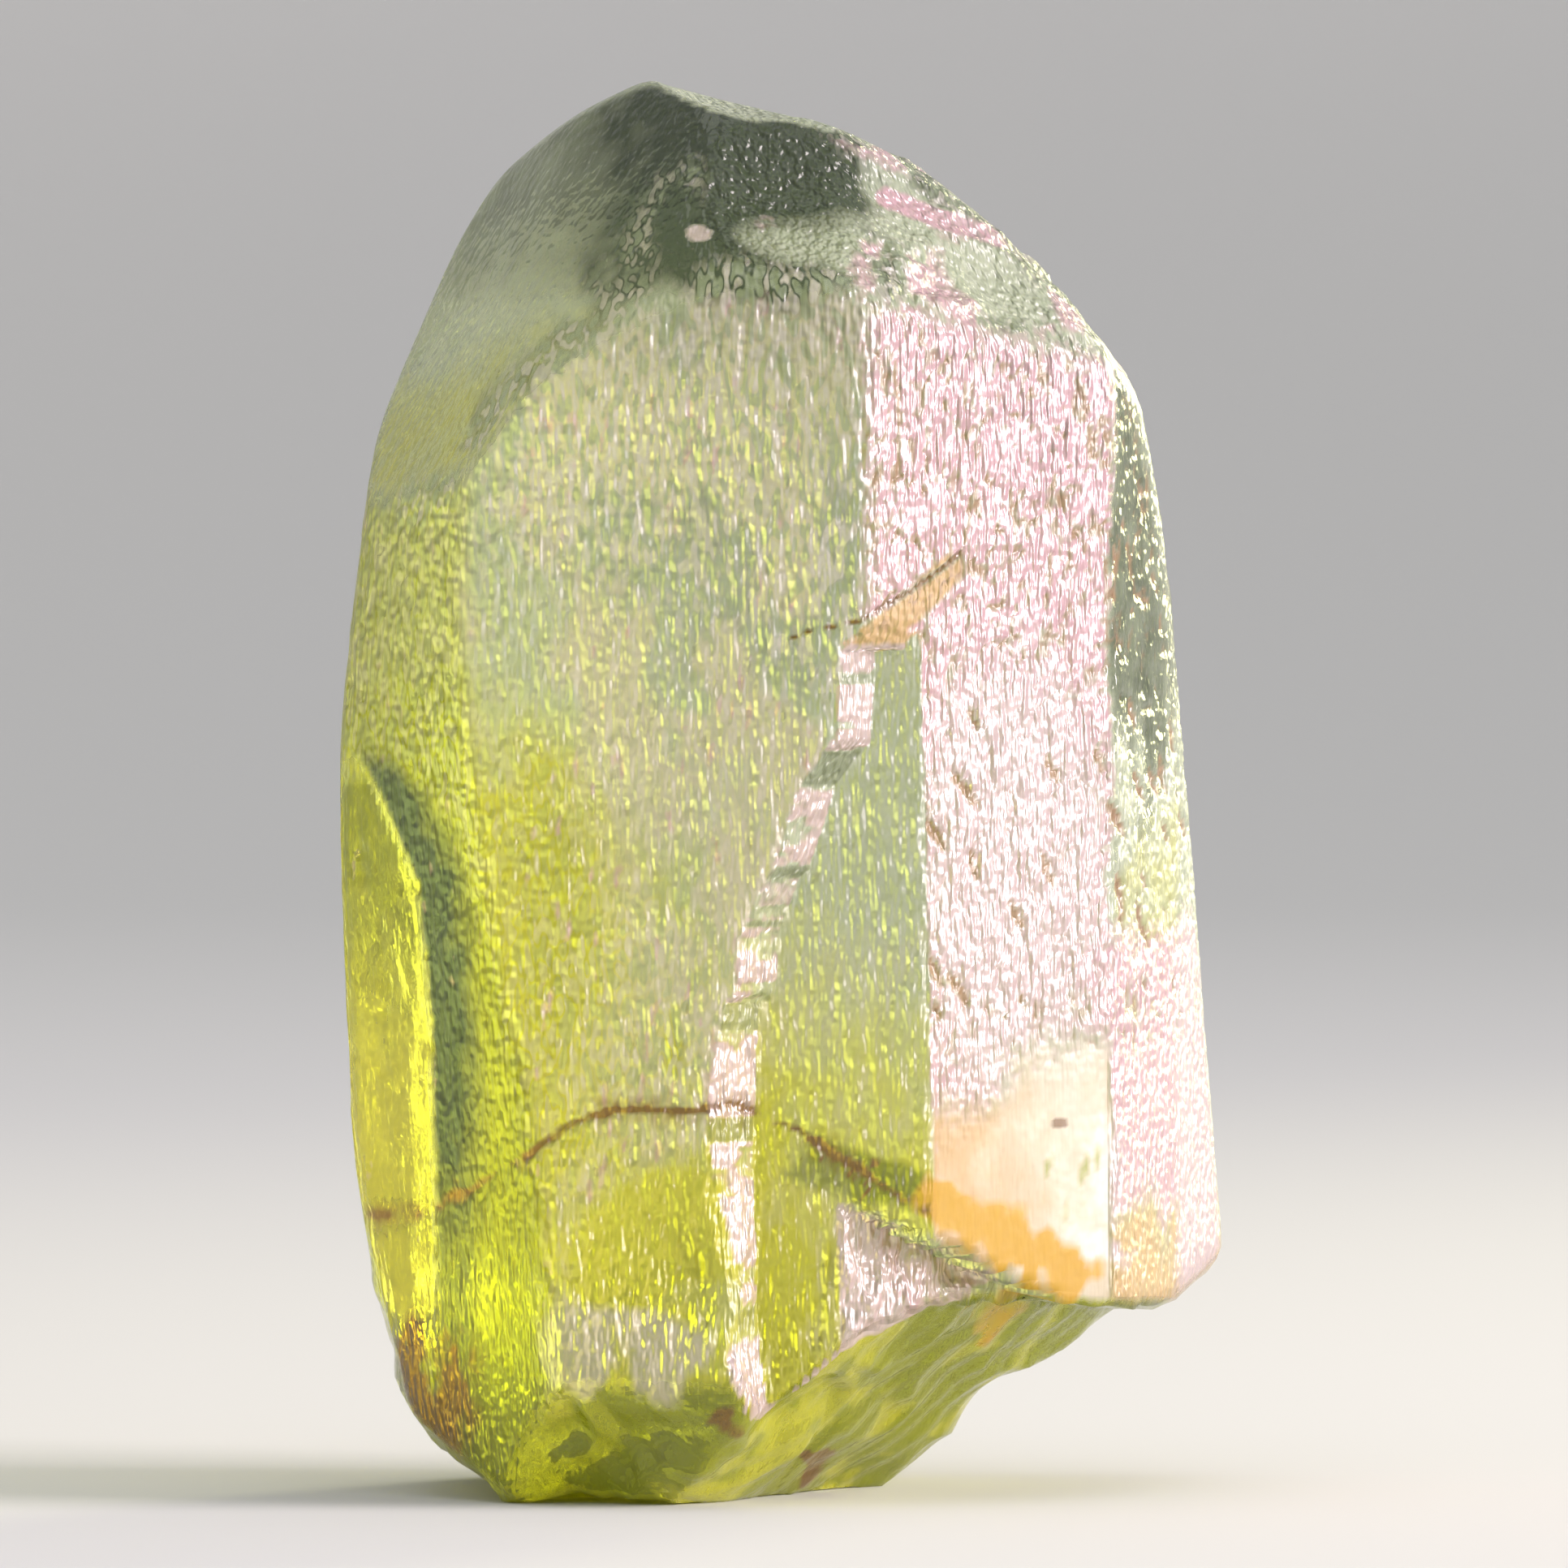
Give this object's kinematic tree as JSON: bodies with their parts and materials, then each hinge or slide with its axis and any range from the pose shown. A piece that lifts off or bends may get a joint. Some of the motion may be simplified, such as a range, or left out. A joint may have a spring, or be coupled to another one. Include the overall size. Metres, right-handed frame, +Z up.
{
  "type": "peridot crystal",
  "caption": "Rough yellow-green peridot crystal with flat prism faces, a blunt many-faced tip and a broken foot that it stands on.",
  "frame": {"origin": "centre of the crystal's bounding box at the level of the flat of its broken foot", "axes": "+Z up along the crystal's length, +X to the right as seen from the wide striated face with the ledge, +Y away from that face"},
  "size_m": [0.0176, 0.0134, 0.028],
  "materials": {
    "peridot": "clear yellow-green, frosted by fine etching on its flat faces and glassy on its breaks"
  },
  "bodies": {
    "root": {"peridot_crystal": "peridot"}
  },
  "joints": []
}
